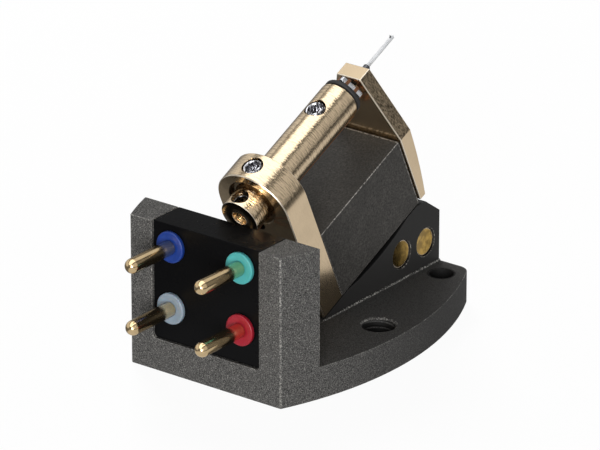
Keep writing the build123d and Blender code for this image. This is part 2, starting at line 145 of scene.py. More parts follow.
class CartridgeSizes(PropertyGroup):
    """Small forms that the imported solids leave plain"""

    body_edge: length("Body edge", "Round on the machined body's edges", 0.04)
    body_chamfer: length("Body chamfer", "Widest chamfer on the machined body that is rubbed bright", 0.084)
    block_edge: length("Block edge", "Round on the terminal block's edges", 0.05)
    magnet_edge: length("Magnet edge", "Round on the magnet's edges", 0.05)
    gilt_edge: length("Gilt edge", "Round on the edges of the gilt pieces", 0.07)
    fine_edge: length("Fine edge", "Round on the edges of the smallest pieces, and their fit", 0.02)
    thread_pitch: length("Thread pitch", "Pitch of the mounting thread", 0.45)
    thread_depth: length("Thread depth", "Depth of the mounting thread", 0.2)
    shank_radius: length("Shank radius", "Radius of a terminal pin inside the block", 0.27)
    rod_dish: length("Rod dish", "Depth of the shallow dish in a rod's end", 0.06)
    collar_rim: length("Collar rim", "Flat rim round a collar's dish", 0.22)
    collar_dish: length("Collar dish", "Depth of a collar's dish", 0.1)
    pole_bore: length("Pole bore", "Radius of the bore through the pole piece", 0.545)
    pole_round: length("Pole round", "Round at the front of the pole piece", 0.15)
    pipe_bore: length("Pipe bore", "Radius of the bore through the suspension pipe", 0.18)
    stub_groove: length("Stub groove", "Radial gap round the stub in the rear yoke", 0.35)
    stub_groove_depth: length("Stub groove depth", "Depth of that gap", 0.3)
    lead_hole: length("Lead hole", "Radius of the hole for the coil leads", 0.4)
    lead_level: length("Lead level", "Hole for the coil leads below the pole's line", 2.05)
    screw_gap: length("Screw gap", "Gap round the set screws of yoke and pole", 0.07)
    socket: length("Socket", "Radius of a set screw's hexagon, over its corners", 0.5)
    wire: length("Wire", "Diameter of the coil wire", 0.06)
    turns: IntProperty(name="Turns", description="Turns of wire each side of the ferrule", default=4, min=1)
    ferrule_bore: length("Ferrule bore", "Radius of the bore through the ferrule", 0.16)


class CartridgeFinishes(PropertyGroup):
    """Colours of the cartridge's finishes"""

    body: colour("Body", "Blasted metal of the body", 76, 75, 74)
    # The glint colour also paints the highlight along the pedestal's root
    body_glint: colour("Body glint", "Bright grains and rubbed edges of the body", 176, 174, 168)
    block: colour("Block", "Black plastic of the terminal block", 11, 11, 12)
    gilt: colour("Gilt", "Pale gilt of yokes and pole piece", 238, 214, 179)
    pin: colour("Pin", "Polished gilt of the terminal pins", 234, 206, 160)
    brass: colour("Brass", "Brass of the rods", 204, 168, 92)
    magnet: colour("Magnet", "Ground face of the magnet", 70, 68, 65)
    steel: colour("Steel", "Bright steel of screws and wire", 150, 150, 153)
    rubber: colour("Rubber", "Damper", 30, 29, 30)
    copper: colour("Copper", "Enamelled coil wire", 128, 84, 52)
    former: colour("Former", "Coil former", 235, 236, 240)
    ferrule: colour("Ferrule", "Tube that joins coil former and cantilever", 120, 121, 126)
    clear: colour("Clear", "Cantilever and diamond", 236, 238, 240)
    left_signal: colour("Left signal", "White collar", 136, 151, 165)
    left_return: colour("Left return", "Blue collar", 22, 56, 136)
    right_signal: colour("Right signal", "Red collar", 156, 24, 42)
    right_return: colour("Right return", "Green collar", 76, 170, 170)


class CartridgeStage(PropertyGroup):
    """Camera, floor and light"""

    azimuth: number("Azimuth", "Camera's turn round the cartridge", math.radians(37.408), subtype="ANGLE")
    elevation: number("Elevation", "Camera above the floor", math.radians(22.735), subtype="ANGLE")
    distance: length("Distance", "Camera to target", 400)
    target: FloatVectorProperty(
        name="Target",
        description="Point at the middle of the picture",
        default=(0.369 * MM, -1.0 * MM, 8.498 * MM),
        size=3,
        precision=6,
        subtype="TRANSLATION",
    )
    lens: number("Lens", "Focal length in millimetres", 352.6, unit="CAMERA")
    floor: colour("Floor", "Pale floor", 135, 135, 135)
    key: number("Key", "Power of the softbox behind the camera", 2.5, unit="POWER")
    fill: number("Fill", "Power of the softbox ahead of the stylus", 1.65, unit="POWER")
    sky: number("Sky", "Strength of the light from all round", 0.08)


def settings(context):
    return context.scene.cartridge_sizes, context.scene.cartridge_finishes


class Value:
    """A shader socket; arithmetic on it adds Math nodes"""

    def __init__(self, finish, socket):
        self.finish = finish
        self.socket = socket

    def math(self, operation, first, second):
        return self.finish.node("ShaderNodeMath", {"operation": operation}, {0: first, 1: second})

    def __add__(self, other):
        return self.math("ADD", self, other)

    def __sub__(self, other):
        return self.math("SUBTRACT", self, other)

    def __rsub__(self, other):
        return self.math("SUBTRACT", other, self)

    def __mul__(self, other):
        return self.math("MULTIPLY", self, other)

    def __abs__(self):
        return self.math("ABSOLUTE", self, 0)

    def larger(self, other):
        return self.math("MAXIMUM", self, other)

    __radd__ = __add__
    __rmul__ = __mul__


class Finish:
    """A node tree and the nodes that the finishes share"""

    def __init__(self, tree):
        self.tree = tree
        tree.nodes.clear()

    def node(self, kind, settings=None, inputs=None, output=0):
        """Adds a node, its settings first, then the values or links of its sockets."""
        node = self.tree.nodes.new(kind)
        for key, value in (settings or {}).items():
            if key == "stops":
                ramp = node.color_ramp
                while len(ramp.elements) < len(value):
                    ramp.elements.new(1)
                for element, (position, level) in zip(ramp.elements, value):
                    element.position = position
                    element.color = (level, level, level, 1)
            else:
                setattr(node, key, value)
        for key, value in (inputs or {}).items():
            if isinstance(value, Value):
                self.tree.links.new(value.socket, node.inputs[key])
            else:
                node.inputs[key].default_value = value
        return Value(self, node.outputs[output]) if node.outputs else None

    def vector(self, operation, inputs, output="Vector"):
        return self.node("ShaderNodeVectorMath", {"operation": operation}, inputs, output)

    def position(self):
        return self.node("ShaderNodeTexCoord", output="Object")

    def coordinate(self, axis, point=None):
        """One coordinate of a point, or of the surface where none is given."""
        return self.node("ShaderNodeSeparateXYZ", None, {0: point or self.position()}, axis)

    def along(self, direction):
        """Distance along a direction, in millimetres."""
        return self.vector("DOT_PRODUCT", {0: self.position(), 1: direction}, "Value") * (1 / MM)

    def noise(self, grain, detail=2.0, roughness=0.5, stretch=(1, 1, 1)):
        """Noise whose grains are that many millimetres wide, stretched where stretch is above 1."""
        scale = [1 / (MM * grain * s) for s in stretch]
        point = self.vector("MULTIPLY", {0: self.position(), 1: scale})
        inputs = {"Vector": point, "Scale": 1.0, "Detail": detail, "Roughness": roughness}
        return self.node("ShaderNodeTexNoise", None, inputs)

    def lines(self, direction, spacing):
        """Random lines square to a direction, about that many millimetres apart."""
        inputs = {"W": self.along(direction) * (1 / spacing), "Scale": 1.0, "Detail": 2.0}
        return self.node("ShaderNodeTexNoise", {"noise_dimensions": "1D"}, inputs)

    def streaks(self, direction, fine, long):
        """Noise that is fine along a direction and long square to it, both in millimetres."""
        spread = self.vector("SCALE", {0: self.position(), "Scale": 1 / (MM * long)})
        packed = self.vector("SCALE", {0: direction, "Scale": self.along(direction) * (1 / fine)})
        point = self.vector("ADD", {0: spread, 1: packed})
        return self.node("ShaderNodeTexNoise", None, {"Vector": point, "Scale": 1.0, "Detail": 2.0})

    def step(self, value, low, high):
        """0 below low, 1 above high, a straight slope between them."""
        inputs = {"Value": value, "From Min": low, "From Max": high}
        return self.node("ShaderNodeMapRange", {"clamp": True}, inputs)

    def band(self, value, start, low, high, end):
        """1 from low to high, 0 before start and after end."""
        return self.step(value, start, low) * (1 - self.step(value, high, end))

    def mix(self, share, first, second):
        """From the first colour to the second."""
        colours = [c if isinstance(c, Value) else (*c, 1) for c in (first, second)]
        inputs = {0: share, 6: colours[0], 7: colours[1]}
        return self.node("ShaderNodeMix", {"data_type": "RGBA"}, inputs, 2)

    def coats(self, base, *layers):
        """A base colour under layers, each a share and a colour."""
        for share, shade in layers:
            base = self.mix(share, base, shade)
        return base

    def bump(self, height, depth, strength):
        inputs = {"Height": height, "Distance": depth * MM, "Strength": strength}
        return self.node("ShaderNodeBump", None, inputs)

    def wear(self):
        """1 on rubbed edges, which some finishes also paint bright as a highlight, from the piece's own attribute.
        """
        return self.node("ShaderNodeAttribute", {"attribute_name": "wear"}, output="Fac")

    def facing(self, direction):
        """1 where the surface faces along a direction, either way, and 0 where it is square to that."""
        normal = self.node("ShaderNodeNewGeometry", output="Normal")
        return abs(self.vector("DOT_PRODUCT", {0: normal, 1: direction}, "Value"))


def blank_material(name):
    material = bpy.data.materials.new(name)
    material.use_nodes = True
    return material, Finish(material.node_tree)


def recipe(inputs):
    """Makes a function that gives a Principled shader's inputs into one that gives the material."""

    def make(*values, name=inputs.__name__):
        material, finish = blank_material(name)
        shader = finish.node("ShaderNodeBsdfPrincipled", None, inputs(finish, *values))
        finish.node("ShaderNodeOutputMaterial", None, {"Surface": shader})
        return material

    return make


def dimmed(tint, share):
    return tuple(level * share for level in tint)


def hole_places():
    """Distance from the middle, place along the plate and radius of each pair of holes, in millimetres."""
    places = []
    for name in ("mounting_holes", "guard_holes"):
        dims = mounts[name]["dims"]
        places.append((dims["spacing_x_mm"] / 2, mounts[name]["pos_m"][1] / MM, dims["hole_r_mm"]))
    return places


def hole_shade(finish, margin, blur):
    """1 inside the holes through the plate, widened by a margin, and 0 outside, in millimetres."""
    aside = abs(finish.along(sideways))
    run = finish.along(lengthwise)
    shade = 0
    for x, y, radius in hole_places():
        reach = (aside - x) * (aside - x) + (run - y) * (run - y)
        wide = radius + margin
        shade = shade + (1 - finish.step(reach, wide**2, (wide + blur) ** 2))
    return shade


@recipe
def blasted_metal(finish, tint, glint, pedestal, plate, seat, shaded_hollow_end):
    """Dark blasted metal: fine grains, broken bright edges, a smoother pedestal, a painted highlight along the
    pedestal's root, and painted shade in the holes, in the hollow, on the plate's top and towards the front.
    """
    aside = abs(finish.along(sideways))
    run = finish.along(lengthwise)
    height = finish.along(vertical)
    grain = finish.noise(0.072, 2.0, 0.65)
    # Towards the front: fewer sparks, and darker as painted shade
    calm_and_shade = finish.step(run, -8.0, 4.0)
    ahead = finish.step(run, -2.4, -2.2)
    inner = 1 - finish.step(aside, pedestal, pedestal + 0.05)
    smooth = inner * finish.step(height, plate + 0.02, plate + 0.1) * ahead
    spark = finish.step(finish.noise(0.064, 0.0), 0.55, 0.72) * (1 - smooth) * (1 - calm_and_shade * 0.8)
    glitter = finish.step(finish.noise(0.075, 0.0), 0.68, 0.75) * (1 - smooth) * (0.46 - calm_and_shade * 0.4)
    edge = finish.wear() * (1 - smooth * finish.step(finish.along(upward), seat - 0.8, seat - 0.7))
    # A painted highlight along the pedestal's root
    root_highlight = finish.band(aside, pedestal - 0.05, pedestal, pedestal + 0.06, pedestal + 0.1)
    root_highlight = root_highlight * (1 - finish.step(height, plate + 0.1, plate + 0.14)) * ahead
    # Real wear on the edges, with the painted root highlight mixed in
    rubbed = (edge + root_highlight * 0.5) * finish.step(finish.noise(0.13, 2.0, 0.75), 0.5, 0.62)
    # The plate's top face, darkened as painted shade
    shaded_shelf = 1 - finish.step(abs(height - plate), 0.04, 0.08)
    shaded_shelf = shaded_shelf * finish.step(finish.facing(vertical), 0.9, 0.97)
    # The seat's hollow, painted nearly black as shade
    shaded_hollow = finish.step(finish.facing(upward), 0.7, 0.85)
    shaded_hollow = shaded_hollow * (1 - finish.step(run, shaded_hollow_end, shaded_hollow_end + 0.1))
    layers = (
        (finish.step(grain, 0.4, 0.6), dimmed(tint, 1.8)),
        (finish.noise(2.5) * 0.25, dimmed(tint, 0.75)),
        (calm_and_shade * (0.75 - shaded_shelf * 0.45), dimmed(tint, 0.62)),
        (smooth * 0.9, dimmed(tint, 0.31)),
        (shaded_hollow * smooth * 0.9, dimmed(tint, 0.03)),
        (spark * 0.28, glint),
        (glitter, glint),
        (shaded_shelf * 0.55, dimmed(tint, 0.28)),
        (rubbed * 0.65, glint),
        # Painted shade inside the holes through the plate
        (hole_shade(finish, 0.1, 0.06) * 0.94, dimmed(tint, 0.05)),
    )
    return {
        "Base Color": finish.coats(dimmed(tint, 0.24), *layers),
        "Metallic": spark * 0.2 + rubbed * 0.2,
        "Roughness": 0.66 - spark * 0.2 - rubbed * 0.2 - smooth * 0.16,
        "Specular IOR Level": 0.14,
        "Normal": finish.bump(grain * (1 - smooth * 0.85), 0.03, 0.5),
    }


@recipe
def black_plastic(finish, tint):
    """Satin black plastic with a faint mould grain."""
    smear = finish.noise(1.8, 3.0)
    return {
        "Base Color": finish.mix(smear * 0.5, tint, dimmed(tint, 1.6)),
        "Roughness": 0.22 + smear * 0.12 + finish.wear() * 0.1,
        "Specular IOR Level": 0.06,
        "Normal": finish.bump(finish.noise(0.08), 0.004, 0.3),
    }


@recipe
def polished_gilt(finish, tint, direction):
    """Gilding polished on the lathe: faint rings and a slightly uneven tone."""
    rings = finish.lines(direction, 0.05)
    tone = finish.step(finish.noise(0.7), 0.35, 0.7)
    return {
        "Base Color": finish.mix(tone * 0.5, tint, dimmed(tint, 0.8)),
        "Metallic": 1.0,
        "Roughness": 0.11 + rings * 0.12,
        "Normal": finish.bump(rings, 0.004, 0.25),
    }


@recipe
def turned_gilt(finish, tint, direction, shaded_hollows=()):
    """Pale gilding over lathe marks, edges rubbed and painted bright as a highlight; end faces darkened as a
    painted reflection, or, if given, hollows darkened as painted shade.
    """
    rings = finish.streaks(direction, 0.12, 0.55)
    tone = finish.step(finish.noise(1.4, 3.0), 0.4, 0.7)
    flat = finish.step(finish.facing(forward), 0.9, 0.97)
    edge = finish.wear()
    if shaded_hollows:
        flat = flat.larger(finish.step(finish.facing(sideways), 0.95, 0.99))
    layers = [
        (finish.step(rings, 0.52, 0.7) * (0.35 - flat * 0.28), dimmed(tint, 0.45)),
        (tone * 0.25, dimmed(tint, 0.75)),
    ]
    # End faces darkened as a painted reflection of the dark parts round them
    if not shaded_hollows:
        layers.append((flat * (1 - edge) * 0.8, dimmed(tint, 0.22)))
    # Inside each hollow: darkened as painted shade, and no bright edge
    for radius, below in shaded_hollows:
        across = finish.along(sideways)
        rise = finish.along(upward) + (below - pivot.dot(upward) / MM)
        reach = across * across + rise * rise
        inside = 1 - finish.step(reach, radius**2, (radius + 0.04) ** 2)
        layers.append((inside * 0.7, dimmed(tint, 0.15)))
        edge = edge * (1 - inside)
    return {
        # Rubbed edges, painted near-white as a highlight
        "Base Color": finish.coats(tint, *layers, (edge * 0.8, GILT_RIM_HIGHLIGHT)),
        "Metallic": 1.0,
        "Roughness": 0.12 + rings * 0.1 + edge * 0.2,
        "Normal": finish.bump(rings * (1 - flat * 0.9), 0.06, 0.6),
    }


@recipe
def milled_gilt(finish, tint, slope):
    """Pale gilding over fine milling; faces that lean like the given slope get coarse milling and a dark speckle
    painted as a reflection.
    """
    lean = finish.band(finish.facing(sideways), slope - 0.04, slope - 0.02, slope + 0.02, slope + 0.04)
    chatter_and_reflection = finish.streaks(forward, 0.075, 0.22)
    tone = finish.noise(1.6, 3.0)
    edge = finish.wear()
    layers = (
        (finish.step(tone, 0.4, 0.7) * 0.3, dimmed(tint, 0.8)),
        # Painted reflection: a dark speckle on the leaning shoulders
        (lean, finish.mix(finish.step(chatter_and_reflection, 0.38, 0.62), dimmed(tint, 0.1), dimmed(tint, 0.62))),
        # Rubbed edges, painted near-white as a highlight
        (edge * 0.8, MILLED_RIM_HIGHLIGHT),
    )
    return {
        "Base Color": finish.coats(tint, *layers),
        "Metallic": 1.0,
        "Roughness": 0.18 + tone * 0.08 + lean * 0.2 + edge * 0.1,
        "Normal": finish.bump(finish.noise(0.09) * 0.5 + chatter_and_reflection * lean * 5, 0.008, 0.5),
    }


@recipe
def ground_magnet(finish, tint):
    """Dark ground magnet: matte, speckled, darker on faces that face up or down as painted shade, with rubbed
    edges painted bright as a highlight.
    """
    speck = finish.noise(0.13, 3.0, 0.7)
    cloud = finish.step(finish.noise(1.6, 3.0), 0.35, 0.7)
    # Rubbed edges away from the end faces, painted bright as a highlight
    rubbed = finish.wear() * (1 - finish.step(finish.facing(forward), 0.3, 0.5))
    rubbed = rubbed * finish.step(finish.noise(0.16, 2.0, 0.7), 0.42, 0.58)
    layers = (
        (finish.step(speck, 0.35, 0.7), dimmed(tint, 1.7)),
        (cloud * 0.4, dimmed(tint, 0.6)),
        # Faces that face up or down, darkened as painted shade
        (finish.step(finish.facing(upward), 0.9, 0.97) * 0.4, dimmed(tint, 0.35)),
        (rubbed * 0.8, MAGNET_RIM_HIGHLIGHT),
    )
    return {
        "Base Color": finish.coats(dimmed(tint, 0.4), *layers),
        "Metallic": 0.1 + rubbed * 0.4,
        "Roughness": 0.5 + speck * 0.12 - rubbed * 0.18,
        "Specular IOR Level": 0.25,
        "Normal": finish.bump(speck, 0.012, 0.45),
    }


@recipe
def rod_brass(finish, tint):
    """Brass ends, sawn and polished: upright streaks, a faint tarnish and a pale rim painted as a highlight."""
    streak = finish.noise(0.2, 3.0, 0.6, (1, 1, 3))
    tarnish = finish.step(finish.noise(0.5), 0.42, 0.62)
    edge = finish.wear()
    layers = (
        (finish.step(streak, 0.45, 0.7) * 0.4, dimmed(tint, 0.55)),
        (tarnish * 0.65, TARNISH),
        # Rim painted near-white as a highlight
        (edge * 0.9, ROD_RIM_HIGHLIGHT),
    )
    return {
        "Base Color": finish.coats(tint, *layers),
        "Metallic": 1.0,
        "Roughness": 0.1 + streak * 0.12 + edge * 0.45,
        "Normal": finish.bump(streak, 0.008, 0.3),
    }


@recipe
def bright_steel(finish, tint, rough):
    """Bright steel with fine marks in no set direction."""
    mark = finish.noise(0.09, 3.0, 0.6)
    return {
        "Base Color": finish.mix(finish.step(mark, 0.4, 0.7), tint, dimmed(tint, 0.6)),
        "Metallic": 1.0,
        "Roughness": rough + mark * 0.12,
        "Normal": finish.bump(mark, 0.008, 0.4),
    }


@recipe
def socket_steel(finish, tint, glint_level):
    """Steel of the set screws: dark, with streaks where it was ground, painted bright or dull as glints."""
    streak = finish.streaks(sideways * 0.91 + forward * 0.41, 0.12, 0.6)
    # Ground streaks, painted bright as glints
    bright = finish.step(streak, 0.42, 0.56)
    return {
        "Base Color": finish.mix(bright, dimmed(tint, 0.16), dimmed(tint, glint_level)),
        "Metallic": 1.0,
        "Roughness": 0.14 + streak * 0.16,
        "Normal": finish.bump(streak, 0.02, 0.5),
    }


@recipe
def collar_plastic(finish, tint):
    """Coloured plastic, a little see-through and slightly cloudy."""
    cloud = finish.noise(0.35, 3.0)
    return {
        "Base Color": finish.mix(finish.step(cloud, 0.35, 0.7) * 0.35, tint, dimmed(tint, 0.78)),
        "Roughness": 0.36 + cloud * 0.12,
        "Subsurface Weight": 0.12,
        "Subsurface Scale": 0.2 * MM,
        "Normal": finish.bump(finish.noise(0.06), 0.004, 0.3),
    }


@recipe
def damper_rubber(finish, tint):
    """Soft black rubber with a dusty bloom."""
    bloom = finish.noise(0.2, 3.0, 0.6)
    return {
        "Base Color": finish.mix(finish.step(bloom, 0.4, 0.75) * 0.5, tint, dimmed(tint, 2.0)),
        "Roughness": 0.55 + bloom * 0.2,
        "Normal": finish.bump(bloom, 0.01, 0.4),
    }


@recipe
def enamelled_wire(finish, tint):
    """Copper wire under clear enamel, browner in places."""
    tone = finish.noise(0.15)
    return {
        "Base Color": finish.mix(finish.step(tone, 0.3, 0.7), dimmed(tint, 0.7), dimmed(tint, 1.25)),
        "Metallic": 0.8,
        "Roughness": 0.28 + tone * 0.15,
        "Coat Weight": 0.4,
        "Coat Roughness": 0.15,
    }


@recipe
def clear_rod(finish, tint, see_through):
    """Polished clear crystal with faint clouding."""
    cloud = finish.noise(0.6)
    return {
        "Base Color": finish.mix(finish.step(cloud, 0.4, 0.7) * 0.3, tint, dimmed(tint, 0.9)),
        "Roughness": 0.34 + cloud * 0.06,
        "IOR": 1.6,
        "Transmission Weight": see_through,
    }


def place(spot, across, up, along):
    """Matrix for a piece that is drawn along its own Z."""
    matrix = Matrix((across, up, along)).transposed().to_4x4()
    matrix.translation = spot
    return matrix


def on_pole():
    """Along the pole piece, from the pivot."""
    return place(pivot, -sideways, upward, forward)


def span(node, where):
    """Lowest and highest corner of a node, measured in a placed frame."""
    turn = where.inverted()
    points = [turn @ vertex.co for vertex in frame["nodes"][node].data.vertices]
    low = Vector([min(p[axis] for p in points) for axis in range(3)])
    high = Vector([max(p[axis] for p in points) for axis in range(3)])
    return low, high


def points_of(geom):
    return [part for part in geom if isinstance(part, bmesh.types.BMVert)]


def edges_of(geom):
    return [part for part in geom if isinstance(part, bmesh.types.BMEdge)]


def swing(bm, geom, centre, axis, angle, steps, rise=0, closed=False):
    """Spins geometry round an axis and gives its last copy; a closed spin is merged at its seam."""
    made = bmesh.ops.spin(
        bm,
        geom=geom,
        cent=centre,
        axis=axis,
        dvec=(0, 0, rise),
        angle=angle,
        steps=steps,
        use_merge=closed,
        use_normal_flip=False,
        use_duplicate=False,
    )
    return made["geom_last"]


class TurnedSection:
    """Half section of a turned piece, drawn by pushing one point along lines and arcs"""

    def __init__(self, radius, along):
        self.bm = bmesh.new()
        self.tip = self.bm.verts.new((radius, 0, along))

    def line(self, *points):
        for radius, along in points:
            self.tip = bmesh.ops.extrude_vert_indiv(self.bm, verts=[self.tip])["verts"][0]
            self.tip.co = (radius, 0, along)

    def arc(self, radius, along, degrees, steps=8):
        """Round a centre, towards higher Z where degrees are positive."""
        made = swing(self.bm, [self.tip], (radius, 0, along), -lengthwise, math.radians(degrees), steps)
        self.tip = points_of(made)[0]

    def turn(self, where, steps=64):
        """Spins the section into a closed piece and puts it in its place."""
        bm = self.bm
        swing(bm, bm.verts[:] + bm.edges[:], origin, vertical, math.tau, steps, closed=True)
        bmesh.ops.remove_doubles(bm, verts=bm.verts, dist=FINE_WELD)
        bmesh.ops.recalc_face_normals(bm, faces=bm.faces)
        if bm.calc_volume(signed=True) < 0:
            bmesh.ops.reverse_faces(bm, faces=bm.faces)
        bmesh.ops.transform(bm, matrix=where, verts=bm.verts)
        return bm


def tube(node, where, bore, steps=64):
    """A tube as wide and as long as a node."""
    low, high = span(node, where)
    section = TurnedSection(bore, low.z)
    section.line((high.x, low.z), (high.x, high.z), (bore, high.z), (bore, low.z))
    return section.turn(where, steps)


def peg(where, radius, low, high, sides=64):
    """Plain round or many-sided peg along Z, as a cutting tool."""
    bm = bmesh.new()
    matrix = where @ Matrix.Translation((0, 0, (low + high) / 2))
    bmesh.ops.create_cone(
        bm, cap_ends=True, segments=sides, radius1=radius, radius2=radius, depth=high - low, matrix=matrix
    )
    return bm


def loose_object(name, bm):
    mesh = bpy.data.meshes.new(name)
    bm.to_mesh(mesh)
    bm.free()
    piece = bpy.data.objects.new(name, mesh)
    bpy.context.scene.collection.objects.link(piece)
    return piece


def cut(bm, tools):
    """Takes the tools away from a piece."""
    piece = loose_object("uncut", bm)
    others = [loose_object("tool", tool) for tool in tools]
    for other in others:
        change = piece.modifiers.new("cut", "BOOLEAN")
        change.operation = "DIFFERENCE"
        change.solver = "EXACT"
        change.object = other
    whole = piece.evaluated_get(bpy.context.evaluated_depsgraph_get())
    mesh = bpy.data.meshes.new_from_object(whole)
    made = bmesh.new()
    made.from_mesh(mesh)
    for spare in [piece, *others]:
        old = spare.data
        bpy.data.objects.remove(spare)
        bpy.data.meshes.remove(old)
    bpy.data.meshes.remove(mesh)
    return made


def merged_copy(node):
    """A node's mesh as whole faces instead of loose triangles."""
    bm = bmesh.new()
    bm.from_mesh(frame["nodes"][node].data)
    bmesh.ops.remove_doubles(bm, verts=bm.verts, dist=WELD)
    bmesh.ops.dissolve_limit(bm, angle_limit=math.radians(0.5), verts=bm.verts, edges=bm.edges)
    return bm


def soften(bm, width, segments=2, corner=50, chamfer=0):
    """Rounds the outer edges that are sharper than a corner angle.

    The rounds, and faces no wider than the chamfer, are marked as worn; some finishes also paint that mark bright
    as a highlight.
    """
    wear = bm.faces.layers.float.get("wear") or bm.faces.layers.float.new("wear")
    for face in bm.faces:
        face[wear] = float(face.calc_area() < face.calc_perimeter() * chamfer / 2)
    sharp = [
        edge
        for edge in bm.edges
        if len(edge.link_faces) == 2 and edge.is_convex and edge.calc_face_angle(0) > math.radians(corner)
    ]
    made = bmesh.ops.bevel(
        bm,
        geom=sharp,
        offset=width,
        offset_type="OFFSET",
        affect="EDGES",
        segments=segments,
        profile=0.5,
        material=-1,
        clamp_overlap=False,
    )
    for face in made["faces"]:
        face[wear] = 1.0
    return bm


def show(name, bm, body, material, node, smooth=40):
    """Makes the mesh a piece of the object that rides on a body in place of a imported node."""
    piece = loose_object(name, bm)
    piece.data.shade_smooth()
    piece.data.set_sharp_from_angle(angle=math.radians(smooth))
    piece.data.materials.append(material)
    flat = piece.modifiers.new("flat faces", "WEIGHTED_NORMAL")
    flat.keep_sharp = True
    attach(piece, body)
    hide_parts(node)


def dress(node, material):
    """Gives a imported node, left as it is, its finish."""
    for holder in frame["nodes"][node].material_slots:
        holder.material = material


def thread_tap(where, minor, depth, pitch, low, high, steps=40):
    """Solid with a screw thread along Z, which cuts the thread of a hole."""
    bm = bmesh.new()
    start = low - 2 * pitch
    turns = math.ceil((high - start) / pitch) + 1
    section = [
        bm.verts.new((minor, 0, start)),
        bm.verts.new((minor + depth, 0, start + pitch / 2)),
        bm.verts.new((minor, 0, start + pitch)),
    ]
    ridge = [bm.edges.new(section[:2]), bm.edges.new(section[1:])]
    swing(bm, section + ridge, origin, vertical, math.tau * turns, steps * turns, rise=pitch / steps)
    bmesh.ops.remove_doubles(bm, verts=bm.verts, dist=WELD)
    for level, outward in ((low, -vertical), (high, vertical)):
        bmesh.ops.bisect_plane(
            bm,
            geom=bm.verts[:] + bm.edges[:] + bm.faces[:],
            plane_co=(0, 0, level),
            plane_no=outward,
            clear_outer=True,
        )
    bmesh.ops.holes_fill(bm, edges=[edge for edge in bm.edges if edge.is_boundary], sides=0)
    bmesh.ops.recalc_face_normals(bm, faces=bm.faces)
    bmesh.ops.transform(bm, matrix=where, verts=bm.verts)
    return bm


class CARTRIDGE_OT_body(Operator):
    """Plate, posts and pedestal in one piece, with rubbed edges and threaded mounting holes"""

    bl_idname = "cartridge.body"
    bl_label = "Body"

    def execute(self, context):
        sizes, finishes = settings(context)
        across, _, radius = hole_places()[0]
        minor = radius * MM - sizes.fine_edge
        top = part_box("body")[1].z / 2
        taps = [
            thread_tap(Matrix.Translation((x, 0, 0)), minor, sizes.thread_depth, sizes.thread_pitch, -MM, top)
            for x in (-across * MM, across * MM)
        ]
        bm = soften(merged_copy("body"), sizes.body_edge, 3, chamfer=sizes.body_chamfer)
        rod_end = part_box("front_rod")[1] / MM
        pedestal = rod_end.x + 0.2
        plate = mounts["guard_holes"]["pos_m"][2] / MM
        seat = (pivot.dot(upward) + span("magnet", on_pole())[0].y) / MM
        material = blasted_metal(finishes.body, finishes.body_glint, pedestal, plate, seat, rod_end.y)
        show("machined_body", cut(bm, taps), HOUSING, material, "body")
        return {"FINISHED"}


class CARTRIDGE_OT_terminals(Operator):
    """Black block with its four pins and their coloured collars"""

    bl_idname = "cartridge.terminals"
    bl_label = "Terminals"

    def execute(self, context):
        sizes, finishes = settings(context)
        block = soften(merged_copy("terminal_block"), sizes.block_edge)
        plastic = black_plastic(finishes.block)
        show("insulating_block", block, HOUSING, plastic, "terminal_block")
        gilt = polished_gilt(finishes.pin, -lengthwise, name="pin_gilt")
        for channel in CHANNELS:
            low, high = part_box(f"{channel}_collar")
            middle = (low + high) / 2
            face = place(Vector((middle.x, low.y, middle.z)), sideways, vertical, -lengthwise)
            self.pin(channel, face, sizes, gilt)
            tinted = collar_plastic(getattr(finishes, channel), name=f"{channel}_collar_plastic")
            self.collar(channel, face, sizes, tinted)
        return {"FINISHED"}

    def pin(self, channel, face, sizes, gilt):
        low, high = span(f"{channel}_pin", face)
        round_start = high.z - high.x
        section = TurnedSection(0, low.z)
        section.line((sizes.shank_radius, low.z), (sizes.shank_radius, 0), (high.x, 0), (high.x, round_start))
        section.arc(0, round_start, 90, 12)
        bm = soften(section.turn(face), sizes.fine_edge)
        show(f"{channel}_terminal", bm, HOUSING, gilt, f"{channel}_pin")

    def collar(self, channel, face, sizes, plastic):
        low, high = span(f"{channel}_collar", face)
        pin = span(f"{channel}_pin", face)[1].x
        bore = sizes.shank_radius + sizes.fine_edge
        section = TurnedSection(bore, low.z)
        section.line(
            (high.x, low.z),
            (high.x, high.z),
            (high.x - sizes.collar_rim, high.z),
            (pin + sizes.collar_rim / 2, high.z - sizes.collar_dish),
            (bore, high.z - sizes.collar_dish),
            (bore, low.z),
        )
        bm = soften(section.turn(face), sizes.collar_dish * 0.8, 4)
        node = f"{channel}_collar"
        show(f"{channel}_ring", bm, HOUSING, plastic, node)


class CARTRIDGE_OT_rods(Operator):
    """Two brass rods across the pedestal, with slightly dished ends"""

    bl_idname = "cartridge.rods"
    bl_label = "Rods"

    def execute(self, context):
        sizes, finishes = settings(context)
        material = rod_brass(finishes.brass)
        for name in ("front_rod", "rear_rod"):
            low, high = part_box(name)
            where = place((low + high) / 2, lengthwise, vertical, sideways)
            half = span(name, where)[1] - Vector((sizes.fine_edge, 0, 0))
            rim = half.x - sizes.gilt_edge
            swell = (rim**2 + sizes.rod_dish**2) / (2 * sizes.rod_dish)
            turn = math.degrees(math.asin(rim / swell))
            centre = half.z - sizes.rod_dish + swell
            section = TurnedSection(0, sizes.rod_dish - half.z)
            section.arc(0, -centre, -turn)
            section.line((half.x, -half.z), (half.x, half.z), (rim, half.z))
            section.arc(0, centre, -turn)
            bm = soften(section.turn(where), sizes.gilt_edge)
            show(f"{name}_brass", bm, HOUSING, material, name)
        return {"FINISHED"}


def screw_seat(node):
    """Frame at a set screw's lower end, along its axis, with the screw's upper corner in that frame."""
    low, high = span(node, on_pole())
    base = on_pole() @ Vector((0, low.y, (low.z + high.z) / 2))
    where = place(base, sideways, forward, upward)
    return where, span(node, where)[1]


def screw_bore(node, gap, depth):
    """Tool for the bore that a set screw stands in, to that depth below the screw."""
    where, high = screw_seat(node)
    return peg(where, high.x + gap, -depth, high.z + MM)


